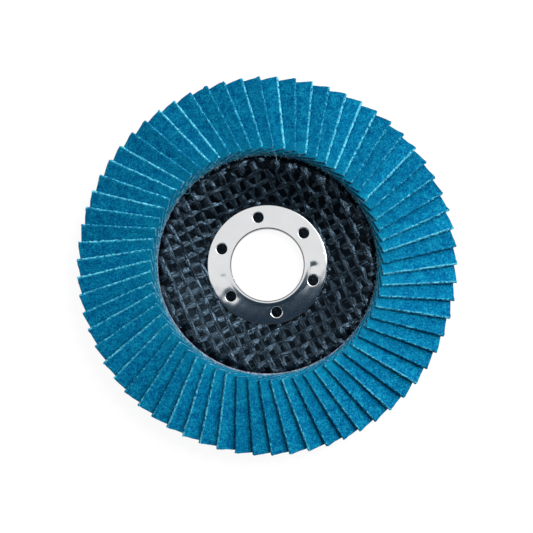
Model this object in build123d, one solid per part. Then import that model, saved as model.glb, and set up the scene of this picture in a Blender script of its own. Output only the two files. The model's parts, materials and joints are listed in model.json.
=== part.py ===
from build123d import *
from math import asin, atan, atan2, cos, degrees, hypot, radians, sin, sqrt, tan
import os

# Flap disc for angle grinders. Abrasive side up (+Z). The origin is on the bore axis, in the rear
# face of the hub, which is the face the disc rests on. Sizes are in mm, angles in degrees.

# --- driving sizes: the whole disc ---
disc_diameter = 115.0
bore_diameter = 22.23
face_slope = 9.0            # the outer face falls away from the hub plane towards the rim

# --- backing plate ---
plate_diameter = 107.0
plate_thickness = 2.2       # cone and outer face
hub_thickness = 3.0
hub_front_radius = 19.3     # foot of the cone on the front
face_start_radius = 30.2    # top of the cone on the front
cone_rise = 4.3
face_bend = 1.2             # width of the flat that eases the bend at the top of the cone
rim_break = 0.5

# --- centre ring, pressed from tinned sheet ---
ring_diameter = 36.6
sheet_thickness = 0.5
sleeve_wall = 0.6
lip_width = 1.75
lip_height = 0.65           # above the flange
lip_break = 0.3
bore_break = 0.4
crimp_radius = 14.2
crimp_thickness = 0.5
flange_break = 0.3
pierced_count = 6
pierced_diameter = 3.2
pierced_circle_radius = 14.8
first_pierced_angle = 41.0

# --- glass mesh bonded to the front of the plate ---
mesh_height = 0.3
mesh_pitch_along = 3.4
mesh_pitch_across = 3.65
mesh_gap = 2.3
mesh_turn = 25.0
mesh_border = 2.4           # solid mesh kept along both round edges

# --- adhesive bed under the flaps ---
bed_thickness = 0.8
bed_inner_margin = 0.15     # how far the bed reaches inside the feet of the flaps
bed_rim_margin = 1.1        # how far it stops short of the plate's rim

# --- abrasive flaps ---
flap_count = 66
flaps_per_node = 2
flap_thickness = 1.0
flap_width = 18.4           # up the slope of the flap
free_edge_offset = 8.7      # how far the line of the free edge passes from the axis
flap_inner_reach = 34.0     # from the axis to the inner end, along the free edge
first_tip_angle = -0.45

# --- fits ---
sleeve_clearance = 0.08
crimp_clearance = 0.06
flap_clearance = 0.05
mesh_clearance = 0.15

# --- derived sizes ---
bore_radius = bore_diameter / 2
ring_radius = ring_diameter / 2
plate_radius = plate_diameter / 2
slope_fall = tan(radians(face_slope))
cone_slope = atan(cone_rise / (face_start_radius - hub_front_radius))
face_start_height = hub_thickness + cone_rise
sleeve_radius = bore_radius + sleeve_wall
plate_hole_radius = sleeve_radius + sleeve_clearance
flange_top = hub_thickness + sheet_thickness
lip_top = flange_top + lip_height
lip_radius = bore_radius + lip_width
flap_pitch = 360.0 / flap_count
# neighbouring flaps lie face to face at their inner ends, and the slope of the bed tips them apart
inner_pitch = radians(flap_pitch) * (flap_inner_reach - flap_width * sin(radians(face_slope)) / 3)
slope_allowance = face_slope / 12
flap_lean = degrees(asin((flap_thickness + flap_clearance) / inner_pitch)) + slope_allowance
foot_width = flap_thickness / sin(radians(flap_lean))
flap_outer_reach = sqrt((disc_diameter / 2) ** 2 - free_edge_offset ** 2)
free_edge_height = flap_width * sin(radians(flap_lean))
# the free edge leans outwards with the face, so the foot starts that much further in
foot_inner_reach = flap_inner_reach - free_edge_height * sin(radians(face_slope))
foot_inner_radius = hypot(foot_inner_reach, free_edge_offset - foot_width)
bed_inner_radius = foot_inner_radius - bed_inner_margin
bed_outer_radius = plate_radius - bed_rim_margin
mesh_inner_radius = ring_radius + mesh_clearance
mesh_outer_radius = bed_inner_radius - mesh_clearance
through = 3 * (face_start_height + lip_top)     # taller than anything that it cuts


def face_height(radius):
    """Height of the front of the plate's outer face."""
    return face_start_height - (radius - face_start_radius) * slope_fall


def bed_height(radius):
    return face_height(radius) + bed_thickness


def revolved(points, breaks):
    """Solid of revolution of a closed (radius, height) outline, with some corners broken."""
    section = make_face(Plane.XZ * Polyline(*points, close=True))
    for corner, size in breaks:
        place = Vector(points[corner][0], 0, points[corner][1])
        section = chamfer(section.vertices().sort_by_distance(place)[0], size)
    return revolve(section, Axis.Z)


def around(count, first_angle, radius, shape):
    return [
        Rot(0, 0, first_angle + index * 360 / count) * Pos(radius, 0, 0) * shape
        for index in range(count)
    ]


def backing_plate():
    """Hub, cone and sloping outer face, with the seat for the crimped end of the ring."""
    seat_depth = crimp_thickness + crimp_clearance
    seat_radius = crimp_radius + crimp_clearance
    cone_drop = plate_thickness / cos(cone_slope)
    face_drop = plate_thickness / cos(radians(face_slope))
    hub_rear_radius = hub_front_radius - (hub_thickness - cone_drop) / tan(cone_slope)
    # where the rear of the cone meets the rear of the outer face
    rear_start = face_start_radius + (cone_drop - face_drop) / (tan(cone_slope) + slope_fall)
    outline = [
        (plate_hole_radius, seat_depth),
        (seat_radius, seat_depth),
        (seat_radius, 0),
        (hub_rear_radius, 0),
        (rear_start, face_height(rear_start) - face_drop),
        (plate_radius, face_height(plate_radius) - face_drop),
        (plate_radius, face_height(plate_radius)),
        (face_start_radius, face_start_height),
        (hub_front_radius, hub_thickness),
        (plate_hole_radius, hub_thickness),
    ]
    return revolved(outline, [(4, face_bend), (7, face_bend), (5, rim_break), (6, rim_break)])


def centre_ring():
    """Sleeve with a rolled front lip, a flat front flange and a crimped rear flange."""
    outline = [
        (bore_radius, 0),
        (crimp_radius, 0),
        (crimp_radius, crimp_thickness),
        (sleeve_radius, crimp_thickness),
        (sleeve_radius, hub_thickness),
        (ring_radius, hub_thickness),
        (ring_radius, flange_top),
        (lip_radius, flange_top),
        (lip_radius, lip_top),
        (bore_radius, lip_top),
    ]
    breaks = [(6, flange_break), (8, lip_break), (9, bore_break)]
    hole = Cylinder(pierced_diameter / 2, through)
    return revolved(outline, breaks) - around(pierced_count, first_pierced_angle, pierced_circle_radius, hole)


def mesh_gap_places():
    """Centres of the gaps that lie wholly between the two round edges of the mesh."""
    half = mesh_gap / 2
    inner = mesh_inner_radius + mesh_border
    outer = mesh_outer_radius - mesh_border
    reach = int(mesh_outer_radius / min(mesh_pitch_along, mesh_pitch_across)) + 1
    steps = range(-reach, reach + 1)
    places = [(column * mesh_pitch_along, row * mesh_pitch_across) for column in steps for row in steps]
    return [
        (x, y) for x, y in places
        if hypot(abs(x) + half, abs(y) + half) < outer
        and hypot(max(abs(x) - half, 0), max(abs(y) - half, 0)) > inner
    ]


def glass_mesh_front(plate):
    """Thin net that follows the front of the plate between the ring and the flaps."""
    layer = Pos(0, 0, mesh_height) * plate - plate
    band = Cylinder(mesh_outer_radius, through) - Cylinder(mesh_inner_radius, through)
    net = layer & Pos(0, 0, (hub_thickness + through) / 2) * band
    gap = Box(mesh_gap, mesh_gap, through)
    return net - [Rot(0, 0, mesh_turn) * Pos(x, y, 0) * gap for x, y in mesh_gap_places()]


def adhesive_bed():
    outline = [
        (bed_inner_radius, face_height(bed_inner_radius)),
        (bed_outer_radius, face_height(bed_outer_radius)),
        (bed_outer_radius, bed_height(bed_outer_radius)),
        (bed_inner_radius, bed_height(bed_inner_radius)),
    ]
    return revolved(outline, [(2, bed_thickness / 2)])


def flap():
    """Flat slab on a flat foot, free edge towards -Y, with its centreline along +X."""
    lean = radians(flap_lean)
    fall = radians(face_slope)
    # the foot stands in the plane that touches the bed below its middle
    foot_y = free_edge_offset - foot_width / 2
    middle = (flap_inner_reach + flap_outer_reach) / 2
    angle = atan2(foot_y, middle)
    origin = Vector(middle, foot_y, bed_height(hypot(middle, foot_y)))
    foot = Plane(
        origin=origin,
        x_dir=(1, 0, -tan(fall) * cos(angle)),
        z_dir=(sin(fall) * cos(angle), sin(fall) * sin(angle), cos(fall)),
    )
    up = (-cos(lean), sin(lean))
    back = foot_width / 2
    free_top = (back + flap_width * up[0], free_edge_height)
    free_bottom = (free_top[0] - flap_thickness * up[1], free_top[1] + flap_thickness * up[0])
    start = (foot_inner_reach - middle) / cos(fall)
    length = (flap_outer_reach - flap_inner_reach) / cos(fall)
    end = Plane(origin=foot.from_local_coords((start, 0, 0)), x_dir=foot.y_dir, z_dir=foot.x_dir)
    section = make_face(end * Polyline((-back, 0), (back, 0), free_top, free_bottom, close=True))
    return extrude(section, length, dir=foot.x_dir)


def flap_nodes():
    """The ring of flaps, written as neighbouring flaps of one node, each its own solid."""
    lead = degrees(asin(2 * free_edge_offset / disc_diameter))
    one = flap()
    ring = [Rot(0, 0, first_tip_angle + lead + index * flap_pitch) * one for index in range(flap_count)]
    nodes = {}
    for start in range(0, flap_count, flaps_per_node):
        name = f"flap_pair_{start // flaps_per_node + 1:02d}"
        nodes[name] = Compound([piece.solid() for piece in ring[start:start + flaps_per_node]])
    return nodes


def main():
    plate = backing_plate()
    nodes = {
        "backing_plate": plate,
        "centre_ring": centre_ring(),
        "glass_mesh_front": glass_mesh_front(plate),
        "adhesive_bed": adhesive_bed(),
        **flap_nodes(),
    }
    os.makedirs("parts", exist_ok=True)
    for name, shape in nodes.items():
        export_step(shape, f"parts/{name}.step")


main()
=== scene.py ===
import json
import math
import random
import bmesh
import bpy
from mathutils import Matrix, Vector
from mathutils.bvhtree import BVHTree


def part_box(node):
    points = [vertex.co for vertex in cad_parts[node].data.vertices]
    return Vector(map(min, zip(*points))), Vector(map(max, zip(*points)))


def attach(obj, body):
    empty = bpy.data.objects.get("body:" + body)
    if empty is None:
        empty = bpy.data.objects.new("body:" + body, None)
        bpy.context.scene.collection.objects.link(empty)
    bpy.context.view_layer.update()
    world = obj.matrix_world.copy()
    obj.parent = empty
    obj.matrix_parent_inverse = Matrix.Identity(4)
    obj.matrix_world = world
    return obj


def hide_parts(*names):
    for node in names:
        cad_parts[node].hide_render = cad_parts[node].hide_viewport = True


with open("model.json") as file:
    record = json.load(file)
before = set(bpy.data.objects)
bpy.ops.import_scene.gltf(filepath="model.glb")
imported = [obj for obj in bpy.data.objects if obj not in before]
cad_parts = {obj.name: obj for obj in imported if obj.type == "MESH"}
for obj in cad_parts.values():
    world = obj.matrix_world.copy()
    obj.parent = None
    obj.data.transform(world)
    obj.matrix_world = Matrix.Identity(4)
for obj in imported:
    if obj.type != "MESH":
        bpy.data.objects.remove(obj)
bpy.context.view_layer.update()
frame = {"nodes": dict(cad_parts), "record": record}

nodes = frame["nodes"]
mm = 0.001
print("frame loaded:", len(nodes), "nodes")


# small helpers for objects and meshes


def newPiece(name, data):
    piece = bpy.data.objects.new(name, data)
    bpy.context.scene.collection.objects.link(piece)
    return piece


def meshFrom(name, points, faces=(), edges=()):
    mesh = bpy.data.meshes.new(name)
    mesh.from_pydata([tuple(point) for point in points], edges, faces)
    mesh.update()
    return mesh


def closedStrip(first, second, count):
    # quads between two closed rows of points that start at these two places in the list
    return [(first + k, first + (k + 1) % count, second + (k + 1) % count, second + k) for k in range(count)]


def storeValues(mesh, **layers):
    # a number for each point, under each layer's name
    for name, values in layers.items():
        mesh.attributes.new(name, "FLOAT", "POINT").data.foreach_set("value", values)


def freeze(piece, name):
    # the evaluated object becomes a plain mesh and the modifiers go
    graph = bpy.context.evaluated_depsgraph_get()
    graph.update()
    mesh = bpy.data.meshes.new_from_object(piece.evaluated_get(graph), depsgraph=graph)
    mesh.name = name
    piece.modifiers.clear()
    piece.data = mesh


def dress(piece, material):
    piece.data.materials.clear()
    piece.data.materials.append(material)


# helpers for node trees

def setInputs(tree, node, ins):
    # ins maps an input's name or index to a value or a socket
    for key, value in ins.items():
        socket = node.inputs[key]
        if isinstance(value, bpy.types.NodeSocket):
            tree.links.new(value, socket)
        else:
            socket.default_value = value


def addNode(tree, kind, ins=None, **settings):
    # settings are properties of the node, such as its operation
    node = tree.nodes.new(kind)
    for key, value in settings.items():
        setattr(node, key, value)
    setInputs(tree, node, ins or {})
    return node


def addValue(tree, kind, ins=None, **settings):
    return addNode(tree, kind, ins, **settings).outputs[0]


def calc(tree, operation, *values):
    return addValue(tree, "ShaderNodeMath", dict(enumerate(values)), operation=operation)


def calcVector(tree, operation, first, second=None):
    # second is a vector, or the factor of SCALE
    ins = {0: first}
    if second is not None:
        ins["Scale" if operation == "SCALE" else 1] = second
    outputs = addNode(tree, "ShaderNodeVectorMath", ins, operation=operation).outputs
    return outputs["Value" if operation in ("DOT_PRODUCT", "LENGTH") else "Vector"]


def mapRange(tree, value, low, high, toLow=0.0, toHigh=1.0):
    return addValue(tree, "ShaderNodeMapRange", {
        "Value": value, "From Min": low, "From Max": high, "To Min": toLow, "To Max": toHigh})


def giveNodes(piece, tree, values):
    # values are set by the socket's identifier, before the object is first evaluated
    change = piece.modifiers.new(tree.name, "NODES")
    change.node_group = tree
    for item in tree.interface.items_tree:
        if item.item_type == "SOCKET" and item.in_out == "INPUT" and item.name in values:
            change[item.identifier] = values[item.name]


def newTree(name, inputs):
    tree = bpy.data.node_groups.new(name, "GeometryNodeTree")
    tree.interface.new_socket("Geometry", in_out="INPUT", socket_type="NodeSocketGeometry")
    tree.interface.new_socket("Geometry", in_out="OUTPUT", socket_type="NodeSocketGeometry")
    for label, kind in inputs.items():
        tree.interface.new_socket(label, in_out="INPUT", socket_type="NodeSocket" + kind)
    return tree, tree.nodes.new("NodeGroupInput").outputs, tree.nodes.new("NodeGroupOutput").inputs


def endTree(tree, geometry, material, result):
    # smooth shading and the material, then out
    smooth = addValue(tree, "GeometryNodeSetShadeSmooth", {"Geometry": geometry})
    done = addValue(tree, "GeometryNodeSetMaterial", {"Geometry": smooth, "Material": material})
    tree.links.new(done, result["Geometry"])


def storeAttribute(tree, geometry, name, value, domain="POINT"):
    return addValue(tree, "GeometryNodeStoreNamedAttribute", {
        "Geometry": geometry, "Name": name, "Value": value}, data_type="FLOAT", domain=domain)


def pushed(tree, geometry, field, strength):
    # moves each point by a colour field less its middle grey, times the strength
    centred = calcVector(tree, "SUBTRACT", field, (0.5, 0.5, 0.5))
    offset = calcVector(tree, "SCALE", centred, strength)
    return addValue(tree, "GeometryNodeSetPosition", {"Geometry": geometry, "Offset": offset})


# helpers for materials

def newMaterial(name):
    material = bpy.data.materials.new(name)
    material.use_nodes = True
    tree = material.node_tree
    return material, tree, tree.nodes["Principled BSDF"]


def objectPoint(tree):
    return addNode(tree, "ShaderNodeTexCoord").outputs["Object"]


def noise(tree, point, size, detail=2.0, rough=0.5):
    # size is the width of one blotch in millimetres
    return addNode(tree, "ShaderNodeTexNoise", {
        "Vector": point, "Scale": 1000 / size, "Detail": detail, "Roughness": rough}).outputs["Fac"]


def cells(tree, point, size):
    return addNode(tree, "ShaderNodeTexVoronoi", {"Vector": point, "Scale": 1000 / size}).outputs["Distance"]


def ramp(tree, fac, stops):
    node = addNode(tree, "ShaderNodeValToRGB", {"Fac": fac})
    band = node.color_ramp
    while len(band.elements) < len(stops):
        band.elements.new(0.5)
    for element, (place, colour) in zip(band.elements, stops):
        element.position = place
        element.color = (*colour, 1)
    return node.outputs["Color"]


def weighted(tree, *shares):
    # sum of the values, each times its share
    total = None
    for value, share in shares:
        part = calc(tree, "MULTIPLY", value, share)
        total = part if total is None else calc(tree, "ADD", total, part)
    return total


def mixed(tree, fac, below, above):
    # 0, 6 and 7 are the factor and the two colours of the node, and 2 is its colour out
    return addNode(tree, "ShaderNodeMix", {0: fac, 6: below, 7: above}, data_type="RGBA").outputs[2]


def bump(tree, height, strength, distance, under=None):
    ins = {"Height": height, "Strength": strength, "Distance": distance}
    if under is not None:
        ins["Normal"] = under
    return addNode(tree, "ShaderNodeBump", ins).outputs["Normal"]


def attribute(tree, name):
    return addNode(tree, "ShaderNodeAttribute", attribute_name=name).outputs["Fac"]


# abrasive flaps

flapSet = {
    "count": 66,
    "freeAbove": 9.5 * mm,      # only free edges lie above this
    "weld": 1e-6,               # metres, points closer than this become one
    "stations": 82,             # along the length of a flap
    "endStation": 0.004,        # one more this close to each end, as a share of the length
    "coatSteps": (0, 0.3, 0.55, 0.72, 0.84, 0.92, 0.968),      # across the coat, closer at the free edge
    "backSteps": (0.9, 0.6, 0),
    "tipJitter": 0.28,          # degrees either way, about the inner end
    "turn": -0.50,              # degrees, the whole ring
    "wanderCos": (0.60, 0.10, 0.08),    # degrees, once, twice and three times round
    "wanderSin": (0.48, -0.10, 0.07),
    "offCentre": (-0.12 * mm, -0.40 * mm, 0),
    "wave": 0.16 * mm,          # slow waviness of the cloth
    "waveSize": 8.0,            # mm
    "fray": 0.80 * mm,          # raggedness of the cut edges
    "fraySize": 0.60,           # mm
    "frayAcross": 0.975,        # share of the width where fraying starts
    "frayAlong": 0.494,         # and of the length, from the middle
    "edgeRound": 0.16,          # part of the thickness that is rounded off
    "edgeLean": 0.054,          # the rounding across the width, as a share of that
    "edgeSoft": 0.25,           # share of both at the point between
    "seed": 11,
    "blotch": (2.4, 4, 0.6),            # each noise has a size in mm, detail and roughness
    "grain": (0.85, 3, 0.75),
    "fine": (0.38, 2, 0.8),
    "thread": (0.9, 4, 0.8),
    "speck": 0.30,                      # mm
    "mottling": (0.22, 0.30, 0.48),     # shares of the blotches, the grain and the fine grain
    "coat": [(0.40, (0.0004, 0.060, 0.194)), (0.5, (0.0010, 0.168, 0.358)), (0.60, (0.010, 0.360, 0.540))],
    "teal": (0.003, 0.240, 0.385, 1),   # towards the inner end
    "tealShare": 0.40,
    "tealAlong": 0.35,                  # share of the length where it ends
    "tones": (0.90, 1.10),              # from flap to flap
    "cut": [(0.44, (0.002, 0.15, 0.32)), (0.52, (0.03, 0.42, 0.64)), (0.60, (0.20, 0.82, 1.0))],
    "cutTone": 0.16,                    # how much the threads differ from flap to flap
    # the cut edge's pale look spread onto the coat is partly frayed threads and partly a painted highlight
    # along the free edge
    "cutSpread": 0.75,                  # of the cut edge's look on the coat beside it
    "cutStrip": (0.976, 0.990),         # shares of the width where that starts and is full
    "endAlong": (0.4985, 0.4995),       # shares of the length from the middle, where an end starts
    "cloth": [(0.35, (0.10, 0.21, 0.27)), (0.7, (0.22, 0.36, 0.42))],
    "end": [(0.42, (0.006, 0.11, 0.22)), (0.52, (0.04, 0.28, 0.43)), (0.62, (0.30, 0.62, 0.78))],
}


def firstFlapCorners():
    # the four corners of each end of the first flap, by height: foot at the coat, foot at the back, free edge
    # at the back and free edge at the coat
    work = bmesh.new()
    work.from_mesh(nodes["flap_pair_01"].data)
    bmesh.ops.remove_doubles(work, verts=work.verts, dist=flapSet["weld"])
    high = [vert for vert in work.verts if vert.co.z > flapSet["freeAbove"]]
    start = min(high, key=lambda vert: abs(math.atan2(vert.co.y, vert.co.x)))
    found, todo = {start}, [start]
    while todo:
        for edge in todo.pop().link_edges:
            for vert in edge.verts:
                if vert not in found:
                    found.add(vert)
                    todo.append(vert)
    corners = sorted((vert.co.copy() for vert in found), key=lambda co: math.hypot(co.x, co.y))
    work.free()
    inner = sorted(corners[:4], key=lambda co: co.z)
    outer = sorted(corners[4:], key=lambda co: co.z)
    return inner, outer


def flapProfile():
    # (weights of the corners, across, part) round the section; part is 0 on the coat, 1 on the cut, 2 behind
    deep = flapSet["edgeRound"]
    wide = deep * flapSet["edgeLean"]
    softDeep, softWide = deep * flapSet["edgeSoft"], wide * flapSet["edgeSoft"]
    section = [((1 - across, 0, 0, across), across, 0.0) for across in flapSet["coatSteps"]]
    section += [((wide, 0, 0, 1 - wide), 1 - wide, 0.0)]
    section += [((softWide, 0, softDeep, 1 - softWide - softDeep), 1.0, 0.5)]
    section += [((0, 0, down, 1 - down), 1.0, 1.0) for down in (deep, 0.5, 1 - deep)]
    section += [((0, softWide, 1 - softDeep - softWide, softDeep), 1.0, 1.5)]
    section += [((0, 1 - across, across, 0), across, 2.0) for across in (1 - wide, *flapSet["backSteps"])]
    return section


def baseFlap():
    inner, outer = firstFlapCorners()
    profile = flapProfile()
    count, stations, end = len(profile), flapSet["stations"], flapSet["endStation"]
    places = [0, end] + [(k + 1) / (stations + 1) for k in range(stations)] + [1 - end, 1]
    points = []
    for place in places:
        for weights, _, _ in profile:
            ends = [sum((weight * corner for weight, corner in zip(weights, corners)), Vector())
                    for corners in (inner, outer)]
            points.append(ends[0].lerp(ends[1], place))
    faces = []
    for row in range(len(places) - 1):
        faces += closedStrip(row * count, (row + 1) * count, count)
    last = (len(places) - 1) * count
    faces += [tuple(range(count - 1, -1, -1)), tuple(range(last, last + count))]
    mesh = meshFrom("flapBase", points, faces)
    storeValues(mesh, along=[place for place in places for _ in profile],
                across=[across for _, across, _ in profile] * len(places),
                part=[part for _, _, part in profile] * len(places))
    work = bmesh.new()
    work.from_mesh(mesh)
    bmesh.ops.triangulate(work, faces=[face for face in work.faces if len(face.verts) > 4])
    bmesh.ops.recalc_face_normals(work, faces=work.faces)
    work.to_mesh(mesh)
    work.free()
    pivot = sum(inner, Vector()) / 4
    return mesh, (pivot.x, pivot.y, 0)


def flapRingTree():
    # sets the flap round the ring, each copy with a small turn of its own, then waves the cloth and frays it
    tree, given, result = newTree("flapRing", {
        "Count": "Int", "Pivot": "Vector", "Off Centre": "Vector", "Turn": "Float",
        "Wander Cos": "Vector", "Wander Sin": "Vector", "Tip Jitter": "Float", "Seed": "Int",
        "Wave": "Float", "Wave Size": "Float", "Fray": "Float", "Fray Size": "Float",
        "Material": "Material"})
    index = addValue(tree, "GeometryNodeInputIndex")
    even = calc(tree, "MULTIPLY", index, calc(tree, "DIVIDE", math.tau, given["Count"]))
    turn = calc(tree, "ADD", even, given["Turn"])
    for label, operation in (("Wander Cos", "COSINE"), ("Wander Sin", "SINE")):
        waves = {k: calc(tree, operation, calc(tree, "MULTIPLY", even, k + 1.0)) for k in range(3)}
        around = addValue(tree, "ShaderNodeCombineXYZ", waves)
        turn = calc(tree, "ADD", turn, calcVector(tree, "DOT_PRODUCT", around, given[label]))
    foot = addValue(tree, "ShaderNodeVectorRotate", {
        "Vector": given["Pivot"], "Angle": turn}, rotation_type="Z_AXIS")
    place = calcVector(tree, "ADD", foot, given["Off Centre"])
    spots = addValue(tree, "GeometryNodePoints", {"Count": given["Count"], "Position": place})
    shake = addNode(tree, "FunctionNodeRandomValue", {
        2: calc(tree, "MULTIPLY", given["Tip Jitter"], -1.0), 3: given["Tip Jitter"],
        "Seed": given["Seed"]}, data_type="FLOAT").outputs[1]
    rotation = addValue(tree, "ShaderNodeCombineXYZ", {"Z": calc(tree, "ADD", turn, shake)})
    shifted = addValue(tree, "GeometryNodeTransform", {
        "Geometry": given["Geometry"], "Translation": calcVector(tree, "SCALE", given["Pivot"], -1.0)})
    placed = addValue(tree, "GeometryNodeInstanceOnPoints", {
        "Points": spots, "Instance": shifted, "Rotation": rotation})
    tone = addNode(tree, "FunctionNodeRandomValue", {
        2: 0.0, 3: 1.0, "Seed": calc(tree, "ADD", given["Seed"], 1.0)}, data_type="FLOAT").outputs[1]
    marked = storeAttribute(tree, placed, "flapTone", tone, "INSTANCE")
    real = addValue(tree, "GeometryNodeRealizeInstances", {"Geometry": marked})
    point = addValue(tree, "GeometryNodeInputPosition")

    def field(size, seed, detail):
        return addNode(tree, "ShaderNodeTexNoise", {
            "Vector": point, "W": seed, "Scale": calc(tree, "DIVIDE", 1000.0, size),
            "Detail": detail}, noise_dimensions="4D").outputs["Color"]

    def stored(name):
        return addValue(tree, "GeometryNodeInputNamedAttribute", {"Name": name}, data_type="FLOAT")

    across = stored("across")
    lift = calc(tree, "MULTIPLY", across, given["Wave"])
    waved = pushed(tree, real, field(given["Wave Size"], seed=3.0, detail=1.0), lift)
    # only what lies near a cut edge frays
    freeSide = mapRange(tree, across, flapSet["frayAcross"], 1.0)
    fromMiddle = calc(tree, "ABSOLUTE", calc(tree, "SUBTRACT", stored("along"), 0.5))
    ragged = calc(tree, "MAXIMUM", freeSide, mapRange(tree, fromMiddle, flapSet["frayAlong"], 0.5))
    amount = calc(tree, "MULTIPLY", ragged, given["Fray"])
    frayed = pushed(tree, waved, field(given["Fray Size"], seed=8.0, detail=2.0), amount)
    endTree(tree, frayed, given["Material"], result)
    return tree


def flapMaterial():
    material, tree, shader = newMaterial("blueAbrasiveCloth")
    point = objectPoint(tree)
    along, across = attribute(tree, "along"), attribute(tree, "across")
    part, tone = attribute(tree, "part"), attribute(tree, "flapTone")
    blotch = noise(tree, point, *flapSet["blotch"])
    grain = noise(tree, point, *flapSet["grain"])
    fine = noise(tree, point, *flapSet["fine"])
    # coat: deep to light blue through three sizes of mottling, greener towards the inner end
    mottling = weighted(tree, *zip((blotch, grain, fine), flapSet["mottling"]))
    coat = ramp(tree, mottling, flapSet["coat"])
    teal = calc(tree, "MULTIPLY", mapRange(tree, along, flapSet["tealAlong"], 0.0), flapSet["tealShare"])
    coat = mixed(tree, teal, coat, flapSet["teal"])
    shade = mapRange(tree, tone, 0.0, 1.0, *flapSet["tones"])
    coat = addValue(tree, "ShaderNodeHueSaturation", {"Value": shade, "Color": coat})
    # cut edge: pale threads that come and go along it; the same pale colour over its rounding and on a narrow
    # strip of the coat beside it is partly frayed threads and partly a painted highlight along the free edge
    thread = noise(tree, point, *flapSet["thread"])
    ownTone = calc(tree, "MULTIPLY", calc(tree, "SUBTRACT", tone, 0.5), flapSet["cutTone"])
    cut = ramp(tree, calc(tree, "ADD", thread, ownTone), flapSet["cut"])
    besideCut = mapRange(tree, across, *flapSet["cutStrip"])
    # painted highlight and frayed threads: pale strip of the coat beside the free edge
    threadsAndHighlightStrip = calc(tree, "MULTIPLY", besideCut, mapRange(tree, part, 0.6, 0.4))
    onCut = calc(tree, "MULTIPLY", mapRange(tree, part, 0.02, 0.40), mapRange(tree, part, 1.9, 1.6))
    onCut = calc(tree, "MAXIMUM", onCut, calc(tree, "MULTIPLY", threadsAndHighlightStrip, flapSet["cutSpread"]))
    # back: plain pale woven cloth
    weave = addNode(tree, "ShaderNodeTexWave", {
        "Vector": point, "Scale": 420.0, "Distortion": 1.5}, wave_type="BANDS",
        bands_direction="DIAGONAL").outputs["Fac"]
    cloth = ramp(tree, weighted(tree, (weave, 0.3), (blotch, 0.7)), flapSet["cloth"])
    colour = mixed(tree, mapRange(tree, part, 1.6, 1.9), coat, cloth)
    colour = mixed(tree, onCut, colour, cut)
    # ends: threads of the cloth under a blue skin
    fromMiddle = calc(tree, "ABSOLUTE", calc(tree, "SUBTRACT", along, 0.5))
    onEnd = mapRange(tree, fromMiddle, *flapSet["endAlong"])
    colour = mixed(tree, onEnd, colour, ramp(tree, thread, flapSet["end"]))
    relief = bump(tree, cells(tree, point, flapSet["speck"]), 0.6, 0.12 * mm)
    relief = bump(tree, grain, 0.6, 0.25 * mm, relief)
    setInputs(tree, shader, {
        "Base Color": colour, "Roughness": 0.8, "Specular IOR Level": 0.02, "Normal": relief})
    return material


def makeFlaps():
    mesh, pivot = baseFlap()
    ring = newPiece("abrasiveFlaps", mesh)
    giveNodes(ring, flapRingTree(), {
        "Count": flapSet["count"], "Pivot": pivot, "Off Centre": flapSet["offCentre"],
        "Turn": math.radians(flapSet["turn"]), "Tip Jitter": math.radians(flapSet["tipJitter"]),
        "Wander Cos": tuple(math.radians(value) for value in flapSet["wanderCos"]),
        "Wander Sin": tuple(math.radians(value) for value in flapSet["wanderSin"]),
        "Seed": flapSet["seed"], "Wave": flapSet["wave"], "Wave Size": flapSet["waveSize"],
        "Fray": flapSet["fray"], "Fray Size": flapSet["fraySize"], "Material": flapMaterial()})
    freeze(ring, "abrasiveFlaps")
    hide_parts(*sorted(name for name in nodes if name.startswith("flap_pair")))
    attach(ring, "root")
    print("flaps:", len(ring.data.polygons), "faces")


# loose threads on the inner ends of the flaps

looseThreads = {
    "perFlap": 20,
    "length": (0.25 * mm, 0.85 * mm),
    "thick": 0.10 * mm,
    "sides": 4,
    "strays": 16,               # longer threads that lie out over the plate
    "strayLength": (1.6 * mm, 3.6 * mm),
    "points": 5,                # along one thread
    "footBias": 2.2,            # above 1, more of them start near the feet
    "root": 0.08 * mm,          # how deep a thread starts inside its flap
    "headings": 1.1,            # radians, spread of the ways they point
    "bend": 0.5,                # radians from point to point, spread
    "rise": (-0.06, 0.05),      # mm from point to point
    "noise": (2.5, 3, 0.6),     # size in mm, detail and roughness
    "colours": [(0.38, (0.08, 0.27, 0.40)), (0.48, (0.22, 0.52, 0.70)),
                (0.56, (0.34, 0.68, 0.84)), (0.66, (0.60, 0.64, 0.80))],
    "seed": 23,
}


def flapTurn(index):
    # the same turn as in flapRingTree, without the jitter
    even = math.tau * index / flapSet["count"]
    swing = sum(cosine * math.cos((k + 1) * even) + sine * math.sin((k + 1) * even)
                for k, (cosine, sine) in enumerate(zip(flapSet["wanderCos"], flapSet["wanderSin"])))
    return even + math.radians(flapSet["turn"] + swing)


def threadMaterial():
    material, tree, shader = newMaterial("clothThread")
    shade = noise(tree, objectPoint(tree), *looseThreads["noise"])
    setInputs(tree, shader, {
        "Base Color": ramp(tree, shade, looseThreads["colours"]), "Roughness": 0.7,
        "Specular IOR Level": 0.2})
    return material


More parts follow.
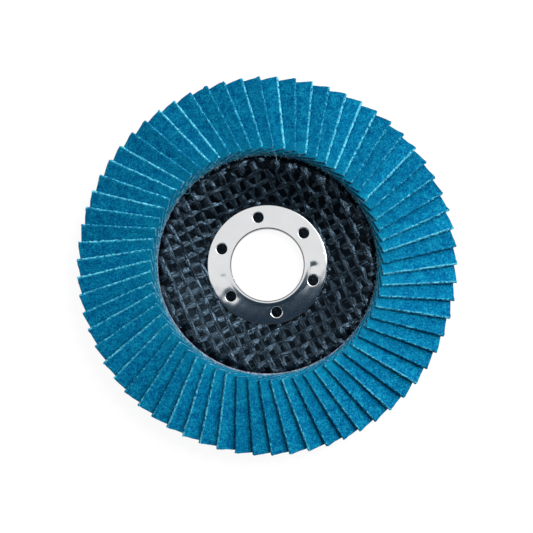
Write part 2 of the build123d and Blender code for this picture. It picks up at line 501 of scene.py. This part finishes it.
def threadLines():
    # short curved lines, most of them at the feet
    rand = random.Random(looseThreads["seed"])
    inner, _ = firstFlapCorners()
    points, edges = [], []
    jobs = [(index, looseThreads["length"]) for index in range(flapSet["count"])
            for _ in range(looseThreads["perFlap"])]
    jobs += [(rand.randrange(flapSet["count"]), looseThreads["strayLength"])
             for _ in range(looseThreads["strays"])]
    for index, (low, high) in jobs:
        up = rand.random() ** looseThreads["footBias"]
        foot = inner[0].lerp(inner[1], rand.random())
        start = foot.lerp(inner[2].lerp(inner[3], rand.random()), up)
        turn = flapTurn(index)
        spot = Vector((start.x * math.cos(turn) - start.y * math.sin(turn),
                       start.x * math.sin(turn) + start.y * math.cos(turn), start.z))
        spot += Vector(flapSet["offCentre"])
        inward = Vector((-spot.x, -spot.y, 0)).normalized()
        sideways = Vector((-inward.y, inward.x, 0))
        length = rand.uniform(low, high)
        heading = rand.gauss(0, looseThreads["headings"])
        bend = rand.gauss(0, looseThreads["bend"])
        spot -= inward * looseThreads["root"]
        for k in range(looseThreads["points"]):
            points.append(spot.copy())
            if k:
                edges.append((len(points) - 2, len(points) - 1))
            way = inward * math.cos(heading) + sideways * math.sin(heading)
            rise = rand.uniform(*looseThreads["rise"]) * mm
            spot += way * length / (looseThreads["points"] - 1) + Vector((0, 0, rise))
            heading += bend
    mesh = meshFrom("threadLines", points, edges=edges)
    storeValues(mesh, yarn=[0.0] * len(points))
    return mesh


def makeThreads():
    threads = newPiece("looseThreads", threadLines())
    giveNodes(threads, yarnTree("looseThread"), {
        "Width": looseThreads["thick"], "Height": looseThreads["thick"], "Sides": looseThreads["sides"],
        "Uneven": 0.0, "Material": threadMaterial()})
    freeze(threads, "looseThreads")
    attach(threads, "root")
    print("threads:", len(threads.data.polygons), "faces")


# glass yarn net on the plate

yarnNet = {
    "turn": 25.0,               # degrees, run of the first set of yarns
    "pitchAcross": 3.65 * mm,   # between yarns of the first set
    "pitchAlong": 3.40 * mm,    # and of the second
    "width": 2.3 * mm,
    "height": 0.38 * mm,
    "sides": 10,
    "girth": (0.84, 1.18),      # of each set, as a share of that width and height
    "swell": 0.14,              # how much the girth varies along a yarn
    "swellRate": 2.7,           # how much faster than the wander
    "weave": 0.13 * mm,         # rise and fall at the crossings
    "sink": 0.05 * mm,          # how far a yarn is pressed into the plate
    "flood": 0.29 * mm,         # and further where resin has flooded it
    "floodSide": 70,            # degrees, the side where the resin is thickest
    "floodLevel": (0.42, 0.28, 0.50),   # everywhere, in slow patches and towards that side
    "step": 0.42 * mm,
    "wander": 0.30 * mm,
    "wanderLength": (9, 22),    # mm
    "unevenness": 0.16 * mm,
    "unevenScale": 900.0,       # per metre
    "innerRadius": 18.5 * mm,
    "outerRadius": 33.15 * mm,
    "resin": {"low": (0.0004, 0.0010, 0.0020), "high": (0.003, 0.006, 0.010), "gloss": 0.62},
    "seed": 5,
}


def plateHeights():
    plate = nodes["backing_plate"].data
    tree = BVHTree.FromPolygons([vert.co.copy() for vert in plate.vertices],
                                [tuple(face.vertices) for face in plate.polygons])

    def height(x, y):
        return tree.ray_cast(Vector((x, y, 50 * mm)), Vector((0, 0, -1)))[0].z
    return height


def flooded(x, y):
    # 0 to 1, in slow patches that come from three waves
    u, v = x / mm, y / mm
    patches = math.sin(u * 0.33 + 1.1) * math.cos(v * 0.41 - 0.5) + math.sin(v * 0.71 + u * 0.52) * 0.6
    side = math.cos(math.atan2(y, x) - math.radians(yarnNet["floodSide"]))
    level, patchShare, sideShare = yarnNet["floodLevel"]
    return max(0.0, min(1.0, level + patchShare * patches + sideShare * side))


def yarnLines(height):
    # polylines that run over the plate in two sets, each passing over and under the other
    rand = random.Random(yarnNet["seed"])
    points, edges, which, girths = [], [], [], []
    outer, inner, step = yarnNet["outerRadius"], yarnNet["innerRadius"], yarnNet["step"]
    sets = ((yarnNet["turn"], yarnNet["pitchAcross"], yarnNet["pitchAlong"], 0),
            (yarnNet["turn"] + 90, yarnNet["pitchAlong"], yarnNet["pitchAcross"], 1))
    for turn, pitch, crossing, second in sets:
        run = Vector((math.cos(math.radians(turn)), math.sin(math.radians(turn))))
        side = Vector((-run.y, run.x))
        reach = int(outer / pitch) + 1
        for line in range(-reach, reach + 1):
            offset = (line + 0.5) * pitch
            if abs(offset) >= outer:
                continue
            waves = [(rand.uniform(0, math.tau), rand.uniform(*yarnNet["wanderLength"]) * mm)
                     for _ in range(2)]
            half = math.sqrt(outer ** 2 - offset ** 2)
            steps = max(2, int(2 * half / step))
            previous = None
            for k in range(steps + 1):
                along = -half + 2 * half * k / steps
                sway = sum(math.sin(math.tau * along / size + phase) for phase, size in waves)
                spot = run * along + side * (offset + sway * yarnNet["wander"] / 2)
                if spot.length < inner or spot.length > outer:
                    previous = None
                    continue
                over = 1 if (line + second) % 2 else -1
                cross = math.cos(math.pi * (along / crossing - 0.5)) * over
                swell = sum(math.sin(yarnNet["swellRate"] * math.tau * along / size - phase)
                            for phase, size in waves) / 2
                girth = yarnNet["girth"][second] * (1 + yarnNet["swell"] * swell)
                sink = yarnNet["sink"] + yarnNet["flood"] * flooded(spot.x, spot.y)
                middle = height(spot.x, spot.y) + yarnNet["height"] * girth / 2 - sink
                points.append((spot.x, spot.y, middle + yarnNet["weave"] * cross))
                which.append(line + 40.0 * second)      # a number of its own for each yarn
                girths.append(girth)
                if previous is not None:
                    edges.append((previous, len(points) - 1))
                previous = len(points) - 1
    mesh = meshFrom("yarnLines", points, edges=edges)
    storeValues(mesh, yarn=which, radius=girths)
    return mesh


def yarnTree(name):
    # flat uneven tubes along the lines, which keep their place along and round the yarn for the material
    tree, given, result = newTree(name, {
        "Width": "Float", "Height": "Float", "Sides": "Int", "Uneven": "Float", "Material": "Material"})
    curve = addValue(tree, "GeometryNodeMeshToCurve", {"Mesh": given["Geometry"]})
    level = addValue(tree, "GeometryNodeSetCurveNormal", {"Curve": curve}, mode="Z_UP")
    circle = addValue(tree, "GeometryNodeCurvePrimitiveCircle", {"Resolution": given["Sides"], "Radius": 0.5})
    size = addValue(tree, "ShaderNodeCombineXYZ", {0: given["Width"], 1: given["Height"], 2: 1.0})
    flat = addValue(tree, "GeometryNodeTransform", {"Geometry": circle, "Scale": size})
    length = addNode(tree, "GeometryNodeSplineParameter").outputs["Length"]
    index = addValue(tree, "GeometryNodeInputIndex")
    around = calc(tree, "MULTIPLY", index, calc(tree, "DIVIDE", math.tau, given["Sides"]))
    tube = addValue(tree, "GeometryNodeCurveToMesh", {
        "Curve": storeAttribute(tree, level, "run", length),
        "Profile Curve": storeAttribute(tree, flat, "side", calc(tree, "COSINE", around)),
        "Fill Caps": True})
    field = addNode(tree, "ShaderNodeTexNoise", {
        "Vector": addValue(tree, "GeometryNodeInputPosition"), "Scale": yarnNet["unevenScale"],
        "Detail": 2.0}).outputs["Color"]
    endTree(tree, pushed(tree, tube, field, given["Uneven"]), given["Material"], result)
    return tree


resinLook = {
    # what the resin of the yarns and the plate share
    "patch": (1.8, 3, 0.6),             # each noise has a size in mm, detail and roughness
    "fine": (0.5, 1, 0.5),
    "shares": (0.55, 0.45),             # of those two in the colour
    "colourStops": (0.40, 0.62),
    "relief": (0.16 * mm, 0.07 * mm),   # of those two
    "strandScale": (4.5, 330.0, 7.3),   # filaments' noise across, per metre along and from yarn to yarn
    "strandRelief": 0.10 * mm,
    "tint": (0.45, 0.72, 1.0, 1),       # of the reflections
    "roughness": (0.16, 0.34),
    "strands": (0.42, 0.64),            # from between the filaments to the top of one
    "strandShine": (0.2, 2.0),          # at those two, times the gloss
    # paler colour of bare filaments, partly a painted glint along the strands
    "filamentGlint": (0.02, 0.032, 0.045, 1),    # colour of bare filaments
    "filamentGlintShare": 0.6,
}


def blackResin(name, low, high, gloss, filaments=False):
    # glossy black resin, and with filaments the fine lines of glass yarn under it, their paler bare strands
    # partly a painted glint
    material, tree, shader = newMaterial(name)
    point = objectPoint(tree)
    patch = noise(tree, point, *resinLook["patch"])
    fine = noise(tree, point, *resinLook["fine"])
    mottling = weighted(tree, *zip((patch, fine), resinLook["shares"]))
    colour = ramp(tree, mottling, list(zip(resinLook["colourStops"], (low, high))))
    relief = bump(tree, patch, 1.0, resinLook["relief"][0])
    relief = bump(tree, fine, 1.0, resinLook["relief"][1], relief)
    if filaments:
        places = [calc(tree, "MULTIPLY", attribute(tree, layer), scale)
                  for layer, scale in zip(("side", "run", "yarn"), resinLook["strandScale"])]
        line = addValue(tree, "ShaderNodeCombineXYZ", dict(enumerate(places)))
        strand = addNode(tree, "ShaderNodeTexNoise", {
            "Vector": line, "Scale": 1.0, "Detail": 2.0, "Roughness": 0.6}).outputs["Fac"]
        relief = bump(tree, strand, 1.0, resinLook["strandRelief"], relief)
        dull, bright = resinLook["strandShine"]
        # painted glint and bare filaments: paler colour on the tops of the strands
        filamentGlint = ramp(tree, strand, [(0.60, (0, 0, 0)), (0.70, (1, 1, 1))])
        colour = mixed(tree, calc(tree, "MULTIPLY", filamentGlint, resinLook["filamentGlintShare"]), colour, resinLook["filamentGlint"])
        gloss = mapRange(tree, strand, *resinLook["strands"], dull * gloss, bright * gloss)
    rough = mapRange(tree, patch, 0.35, 0.65, *resinLook["roughness"])
    setInputs(tree, shader, {
        "Base Color": colour, "Roughness": rough, "Specular IOR Level": gloss,
        "Specular Tint": resinLook["tint"], "Normal": relief})
    return material


def makeYarnNet():
    net = newPiece("glassYarnNet", yarnLines(plateHeights()))
    giveNodes(net, yarnTree("glassYarn"), {
        "Width": yarnNet["width"], "Height": yarnNet["height"], "Sides": yarnNet["sides"],
        "Uneven": yarnNet["unevenness"],
        "Material": blackResin("resinYarn", filaments=True, **yarnNet["resin"])})
    freeze(net, "glassYarnNet")
    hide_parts("glass_mesh_front")
    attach(net, "root")
    print("yarn net:", len(net.data.polygons), "faces")


# plate and adhesive

plateLook = {
    "resin": {"low": (0.0002, 0.0004, 0.0008), "high": (0.001, 0.002, 0.003), "gloss": 0.10},
    "drip": (1.1, 3, 0.6),      # size in mm, detail and roughness
    "adhesive": [(0.38, (0.14, 0.18, 0.25)), (0.60, (0.52, 0.55, 0.70))],
}


def makePlate():
    dress(nodes["backing_plate"], blackResin("resinPlate", **plateLook["resin"]))
    material, tree, shader = newMaterial("curedAdhesive")
    drip = noise(tree, objectPoint(tree), *plateLook["drip"])
    setInputs(tree, shader, {
        "Base Color": ramp(tree, drip, plateLook["adhesive"]), "Roughness": 0.42,
        "Normal": bump(tree, drip, 0.6, 0.3 * mm)})
    dress(nodes["adhesive_bed"], material)


# pressed ring

ringSet = {
    "sectors": 6,
    "steps": 28,                # round one sector
    "rows": 12,                 # from a hole to the edge of its sector
    "rowGrowth": 1.4,           # above 1, rows are closer at the hole
    "firstHole": 41.0,          # degrees
    "holeCircle": 14.8 * mm,
    "holeRadius": 1.6 * mm,
    "mouth": 0.24 * mm,         # rounding of a hole's edge
    "mouthSteps": 5,
    "sheet": 0.5 * mm,
    "flangeDrop": 0.65 * mm,    # from the top of the CAD's lip to the flange
    "rimRound": 0.06 * mm,
    "rimSteps": 5,
    "lipFoot": 13.0 * mm,
    "lipCrown": 11.85 * mm,
    "lipHeight": 0.008 * mm,
    "lipSteps": 8,
    "boreRound": (0.17 * mm, 0.16 * mm),    # across and down
    "boreSteps": 9,
    "sleeve": 0.6 * mm,
    "crimpRadius": 14.2 * mm,
    "crimpRound": 0.25 * mm,
    "crimpSteps": 4,
    "hiddenRound": 0.1 * mm,    # edges that don't show
    "dimple": 0.0035 * mm,      # how far the sheet sinks beside a hole
    "dimpleSize": 0.8 * mm,
    "ripple": 0.0030 * mm,
    "rise": 0.002 * mm,         # how far the flange rises between its two round edges
    "dents": ((14.2 * mm, -0.6 * mm), (-13.6 * mm, -4.2 * mm)),
    "dentDepth": 0.030 * mm,
    "dentSize": 1.4 * mm,
    "fade": 0.5 * mm,           # from a round edge to full unevenness
    "weld": 2e-6,               # metres, points closer than this become one
    "sharpAngle": 42,           # degrees
    "face": [(0.3, (0.70, 0.715, 0.73)), (0.7, (0.75, 0.765, 0.775))],
    "faceRoughness": (0.03, 0.07),
    "cloud": (7.0, 2, 0.5),     # each noise has a size in mm, detail and roughness
    "scratch": (1.6, 3, 0.6),
    "scratchTurn": 0.6,         # radians
    "scratchScale": (1, 12, 1),
    # painted shade: dark grey colour for the inside of the bore's sleeve
    "sleeveShadeColour": (0.15, 0.15, 0.155, 1),
    "sleeveShadeFade": (11.55 * mm, 11.30 * mm),     # radii where the sleeve's colour starts and is full
}


def tinplate():
    material, tree, shader = newMaterial("brightTinplate")
    point = objectPoint(tree)
    cloud = noise(tree, point, *ringSet["cloud"])
    stretched = addValue(tree, "ShaderNodeMapping", {
        "Vector": point, "Rotation": (0, 0, ringSet["scratchTurn"]), "Scale": ringSet["scratchScale"]})
    scratch = noise(tree, stretched, *ringSet["scratch"])
    # painted shade: the inside of the sleeve is coloured darker than the polished face
    radius = calcVector(tree, "LENGTH", calcVector(tree, "MULTIPLY", point, (1, 1, 0)))
    inside = mapRange(tree, radius, *ringSet["sleeveShadeFade"])
    colour = mixed(tree, inside, ramp(tree, cloud, ringSet["face"]), ringSet["sleeveShadeColour"])
    rough = mapRange(tree, scratch, 0.0, 1.0, *ringSet["faceRoughness"])
    setInputs(tree, shader, {
        "Base Color": colour, "Metallic": 1.0, "Roughness": rough,
        "Normal": bump(tree, scratch, 0.02, 0.01 * mm)})
    return material


def arc(centre, radii, start, end, steps):
    # points round a centre in (radius, height), from one angle to another in degrees
    angles = [math.radians(start + (end - start) * k / steps) for k in range(steps + 1)]
    return [(centre[0] + radii[0] * math.cos(angle), centre[1] + radii[1] * math.sin(angle))
            for angle in angles]


def sCurve(start, end, steps):
    return [(start[0] + (end[0] - start[0]) * k / steps,
             start[1] + (end[1] - start[1]) * (0.5 - 0.5 * math.cos(math.pi * k / steps)))
            for k in range(1, steps)]


def ringSections(top, low, bore, rim):
    # the inner section runs from the flange over the lip and down the sleeve, the outer one over the rim
    shape = ringSet
    foot, crown, crimp = shape["lipFoot"], shape["lipCrown"], shape["crimpRadius"]
    flange = top - shape["flangeDrop"]
    lip = flange + shape["lipHeight"]
    hub = flange - shape["sheet"]
    sleeve = bore + shape["sleeve"]
    across, down = shape["boreRound"]
    turned, crimpTop = shape["crimpRound"], low + shape["sheet"]
    soft = shape["hiddenRound"]
    inner = [(foot, flange)] + sCurve((foot, flange), (crown, lip), shape["lipSteps"])
    inner += arc((bore + across, lip - down), (across, down), 90, 180, shape["boreSteps"])
    inner += [(bore, low + 3 * soft), (bore, low + soft), (bore + soft, low), (crimp - soft, low)]
    inner += arc((crimp - turned, low + turned), (turned, turned), -60, 60, shape["crimpSteps"])
    inner += [(crimp - soft, crimpTop), (sleeve + soft, crimpTop), (sleeve, crimpTop + soft)]
    inner += [(sleeve, hub - soft), (sleeve + soft, hub), (foot, hub)]
    rounding = shape["rimRound"]
    edge = rim - rounding
    outer = [(edge, flange)]
    outer += arc((edge, flange - rounding), (rounding, rounding), 90, 0, shape["rimSteps"])[1:]
    outer += [(rim, hub + soft / 2), (edge, hub)]
    return inner, outer, flange, hub


def flangeTop(flange, inner, outer):
    # height of the flange's top: gentle ripples of pressed sheet, a slight sink beside each hole and two
    # dents, all faded out towards its two round edges, between which it rises a little
    shape = ringSet
    pitch = 360 / shape["sectors"]
    halfWidth = (outer - inner) / 2

    def height(x, y):
        turn = math.degrees(math.atan2(y, x)) - shape["firstHole"]
        nearest = math.radians(round(turn / pitch) * pitch + shape["firstHole"])
        away = math.hypot(x - shape["holeCircle"] * math.cos(nearest),
                          y - shape["holeCircle"] * math.sin(nearest))
        sink = shape["dimple"] * math.exp(-((away - shape["holeRadius"]) / shape["dimpleSize"]) ** 2)
        for dentX, dentY in shape["dents"]:
            away = math.hypot(x - dentX, y - dentY)
            sink += shape["dentDepth"] * math.exp(-(away / shape["dentSize"]) ** 2)
        u, v = x / mm, y / mm
        ripple = (math.sin(u * 0.55 + 1.3) * math.cos(v * 0.47) + 0.6 * math.sin(v * 1.05 + u * 0.42 + 0.6)
                  + 0.35 * math.cos(u * 1.7 - v * 1.3))
        radius = math.hypot(x, y)
        fade = max(0.0, min(1.0, min(radius - inner, outer - radius) / shape["fade"]))
        middle = max(0.0, 1 - ((radius - inner) / halfWidth - 1) ** 2)
        return flange + fade * (shape["ripple"] * ripple - sink) + shape["rise"] * middle
    return height


def holePatch(inner, outer, height, points, faces, floor=None):
    # flat sector round each hole, in rows from the hole to the sector's own edge; with a floor it faces up
    # and its holes go down to that height
    shape = ringSet
    steps, rows = shape["steps"], shape["rows"]
    half = math.pi / shape["sectors"]
    side = rows // 2
    edge = [(outer, -half + 2 * half * k / steps) for k in range(steps)]
    edge += [(outer + (inner - outer) * k / side, half) for k in range(side)]
    edge += [(inner, half - 2 * half * k / steps) for k in range(steps)]
    edge += [(inner + (outer - inner) * k / side, -half) for k in range(side)]
    count = len(edge)
    upward = floor is not None
    opening = shape["holeRadius"] + (shape["mouth"] if upward else 0)
    for sector in range(shape["sectors"]):
        turn = math.radians(shape["firstHole"]) + sector * 2 * half
        centre = Vector((math.cos(turn), math.sin(turn))) * shape["holeCircle"]
        targets = [Vector((math.cos(turn + angle), math.sin(turn + angle))) * radius
                   for radius, angle in edge]
        ways = [(target - centre).normalized() for target in targets]
        first = len(points)
        for row in range(rows + 1):
            share = (row / rows) ** shape["rowGrowth"]
            for target, way in zip(targets, ways):
                spot = (centre + way * opening).lerp(target, share)
                points.append((spot.x, spot.y, height(spot.x, spot.y)))
        for row in range(rows):
            for k in range(count):
                here, after = first + row * count + k, first + row * count + (k + 1) % count
                quad = (here, here + count, after + count, after)
                faces.append(quad if upward else quad[::-1])
        if upward:
            holeWall(centre, ways, height, floor, first, points, faces)


def holeWall(centre, ways, height, floor, first, points, faces):
    # rounded mouth and straight wall of a hole, down from the first row of its patch
    mouth, radius, steps = ringSet["mouth"], ringSet["holeRadius"], ringSet["mouthSteps"]
    rims = [centre + way * (radius + mouth) for way in ways]
    tops = [height(rim.x, rim.y) for rim in rims]
    above = first
    for k in range(1, steps + 2):
        angle = math.radians(min(k, steps) * 90 / steps)
        start = len(points)
        for way, top in zip(ways, tops):
            spot = centre + way * (radius + mouth * (1 - math.sin(angle)))
            points.append((spot.x, spot.y, floor if k > steps else top - mouth * (1 - math.cos(angle))))
        faces += closedStrip(above, start, len(ways))
        above = start


def lathe(section, points, faces):
    # section turned round the axis, on the same steps as the patches
    count = ringSet["sectors"] * ringSet["steps"]
    first = len(points)
    offset = math.radians(ringSet["firstHole"]) - math.pi / ringSet["sectors"]
    for radius, z in section:
        for k in range(count):
            angle = offset + math.tau * k / count
            points.append((radius * math.cos(angle), radius * math.sin(angle), z))
    for row in range(len(section) - 1):
        faces += closedStrip(first + row * count, first + (row + 1) * count, count)


def makeRing():
    low, top = (Vector(corner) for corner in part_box("centre_ring"))
    mounts = {mount["name"]: mount for mount in frame["record"]["mounts"]}
    bore = mounts["bore"]["dims"]["r_mm"] * mm
    inner, outer, flange, hub = ringSections(top.z, low.z, bore, top.x)
    points, faces = [], []
    sheet = flangeTop(flange, inner[0][0], outer[0][0])
    holePatch(inner[0][0], outer[0][0], sheet, points, faces, hub)
    holePatch(inner[-1][0], outer[-1][0], lambda x, y: hub, points, faces)
    lathe(inner, points, faces)
    lathe(outer[::-1], points, faces)
    mesh = meshFrom("pressedRing", points, faces)
    work = bmesh.new()
    work.from_mesh(mesh)
    bmesh.ops.remove_doubles(work, verts=work.verts, dist=ringSet["weld"])
    bmesh.ops.recalc_face_normals(work, faces=work.faces)
    openEdges = sum(1 for edge in work.edges if len(edge.link_faces) != 2)
    work.to_mesh(mesh)
    work.free()
    mesh.shade_smooth()
    mesh.set_sharp_from_angle(angle=math.radians(ringSet["sharpAngle"]))
    ring = newPiece("pressedRing", mesh)
    dress(ring, tinplate())
    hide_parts("centre_ring")
    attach(ring, "root")
    print("ring:", len(mesh.polygons), "faces,", openEdges, "open edges")


# floor, light and camera

studio = {
    "worldLevel": 0.455,        # soft light from straight above
    "worldSlope": 0.80,         # how much more comes from the bright side
    "worldLow": 0.02,           # the least that comes from the dark side
    "worldAzimuth": 60.0,       # degrees, of the bright side
    "floorSize": 6.0,
    "floorDrop": 0.2 * mm,      # keeps the floor clear of the underside
    "floorColour": (0.82, 0.82, 0.82, 1),
    "floorGlow": 0.86,          # how much of the floor's look is plain white
    "glowLevel": 1.08,
    "cardHeight": 0.75,
    "cardEdge": 0.040,          # the dark card ends this far past the axis
    "cardTurn": 11.0,           # degrees
    "cardSize": (1.5, 0.95),
    # the card's colours are its faint painted glow, which the ring mirrors as its dark sector
    "cardGlowColour": (0.022, 0.040, 0.062),
    "cardFade": (0.06, 0.10, 0.14),     # paler along the edge
    "fadeWidth": 0.022,
    "cardFar": (0.14, 0.155, 0.17),     # and at the far side
    "cardLightens": (0.16, 0.34),       # metres in from the edge, where that starts and where it is full
}
lamps = {
    # azimuth anticlockwise from +X and height above the floor in degrees, distance and size in metres, watts
    "key": (22.0, 56.0, 0.9, 0.85, 5.9),
    "spark": (32.0, 66.0, 0.9, 0.12, 1.8),
}
eye = {
    "elevation": 85.5,
    "distance": 0.450,
    "lens": 100.7,
    "sensor": 36,
    "targetHeight": 10.6 * mm,
    "shiftX": -0.0018,
    "shiftY": -0.0070,
}


def seenDirectly(tree):
    path = addNode(tree, "ShaderNodeLightPath").outputs
    either = calc(tree, "MAXIMUM", path["Is Camera Ray"], path["Is Glossy Ray"])
    return calc(tree, "MAXIMUM", either, path["Is Transmission Ray"])


def makeFloor():
    half = studio["floorSize"] / 2
    mesh = meshFrom("floor", [(-half, -half, 0), (half, -half, 0), (half, half, 0), (-half, half, 0)],
                    [(0, 1, 2, 3)])
    floor = newPiece("floor", mesh)
    floor.location.z = -studio["floorDrop"]
    material, tree, shader = newMaterial("paleFloor")
    setInputs(tree, shader, {
        "Base Color": studio["floorColour"], "Roughness": 0.9, "Specular IOR Level": 0.1})
    glow = addValue(tree, "ShaderNodeEmission", {"Color": (1, 1, 1, 1), "Strength": studio["glowLevel"]})
    share = calc(tree, "MULTIPLY", seenDirectly(tree), studio["floorGlow"])
    blend = addValue(tree, "ShaderNodeMixShader", {0: share, 1: shader.outputs[0], 2: glow})
    tree.links.new(blend, tree.nodes["Material Output"].inputs["Surface"])
    dress(floor, material)


def makeCard():
    # dark card over the near side, which the polished ring mirrors: a dark sheet standing in for the dark
    # room, glowing faintly through its emission, paler along its edge and at the far side, and keeping the
    # world's light off that side
    width, depth = studio["cardSize"]
    mesh = meshFrom("darkCard", [(-width / 2, -depth, 0), (width / 2, -depth, 0), (width / 2, 0, 0),
                                 (-width / 2, 0, 0)], [(3, 2, 1, 0)])
    card = newPiece("darkCard", mesh)
    card.location = (0, studio["cardEdge"], studio["cardHeight"])
    card.rotation_euler.z = math.radians(studio["cardTurn"])
    material, tree, shader = newMaterial("darkCard")
    across = addNode(tree, "ShaderNodeSeparateXYZ", {0: objectPoint(tree)}).outputs["Y"]
    starts, full = studio["cardLightens"]
    colour = ramp(tree, mapRange(tree, across, 0.0, -depth), [
        (0.0, studio["cardFade"]), (studio["fadeWidth"] / depth, studio["cardGlowColour"]),
        (starts / depth, studio["cardGlowColour"]), (full / depth, studio["cardFar"])])
    setInputs(tree, shader, {
        "Base Color": (0, 0, 0, 1), "Specular IOR Level": 0.0, "Emission Color": colour,
        "Emission Strength": 1.0})
    dress(card, material)


def makeWorld():
    world = bpy.data.worlds.new("studio")
    bpy.context.scene.world = world
    world.use_nodes = True
    tree = world.node_tree
    back = tree.nodes["Background"]
    back.inputs["Color"].default_value = (1, 1, 1, 1)
    # soft light grows towards one side, while what is seen directly is plain white
    bright = math.radians(studio["worldAzimuth"])
    way = calcVector(tree, "DOT_PRODUCT", addNode(tree, "ShaderNodeTexCoord").outputs["Generated"],
                     (math.cos(bright), math.sin(bright), 0))
    soft = calc(tree, "ADD", calc(tree, "MULTIPLY", way, studio["worldSlope"]), studio["worldLevel"])
    soft = calc(tree, "MAXIMUM", soft, studio["worldLow"])
    level = addValue(tree, "ShaderNodeMix", {0: seenDirectly(tree), 2: soft, 3: 1.0}, data_type="FLOAT")
    tree.links.new(level, back.inputs["Strength"])


def makeLamps():
    for name, (azimuth, height, distance, size, power) in lamps.items():
        lamp = bpy.data.lights.new(name, "AREA")
        lamp.shape = "DISK"
        lamp.size = size
        lamp.energy = power
        stand = newPiece(name, lamp)
        turn, rise = math.radians(azimuth), math.radians(height)
        away = Vector((math.cos(turn) * math.cos(rise), math.sin(turn) * math.cos(rise), math.sin(rise)))
        stand.location = away * distance
        stand.rotation_euler = away.to_track_quat("Z", "Y").to_euler()


def makeCamera():
    data = bpy.data.cameras.new("camera")
    data.lens = eye["lens"]
    data.sensor_width = eye["sensor"]
    data.shift_x, data.shift_y = eye["shiftX"], eye["shiftY"]
    camera = newPiece("camera", data)
    rise = math.radians(eye["elevation"])
    back = Vector((0, -math.cos(rise), math.sin(rise)))
    camera.location = Vector((0, 0, eye["targetHeight"])) + back * eye["distance"]
    camera.rotation_euler = (-back).to_track_quat("-Z", "Y").to_euler()
    bpy.context.scene.camera = camera


bpy.context.scene.view_settings.view_transform = "Standard"
makeFlaps()
makeThreads()
makeYarnNet()
makePlate()
makeRing()
print("pieces done")
makeFloor()
makeCard()
makeWorld()
makeLamps()
makeCamera()
print("studio done")
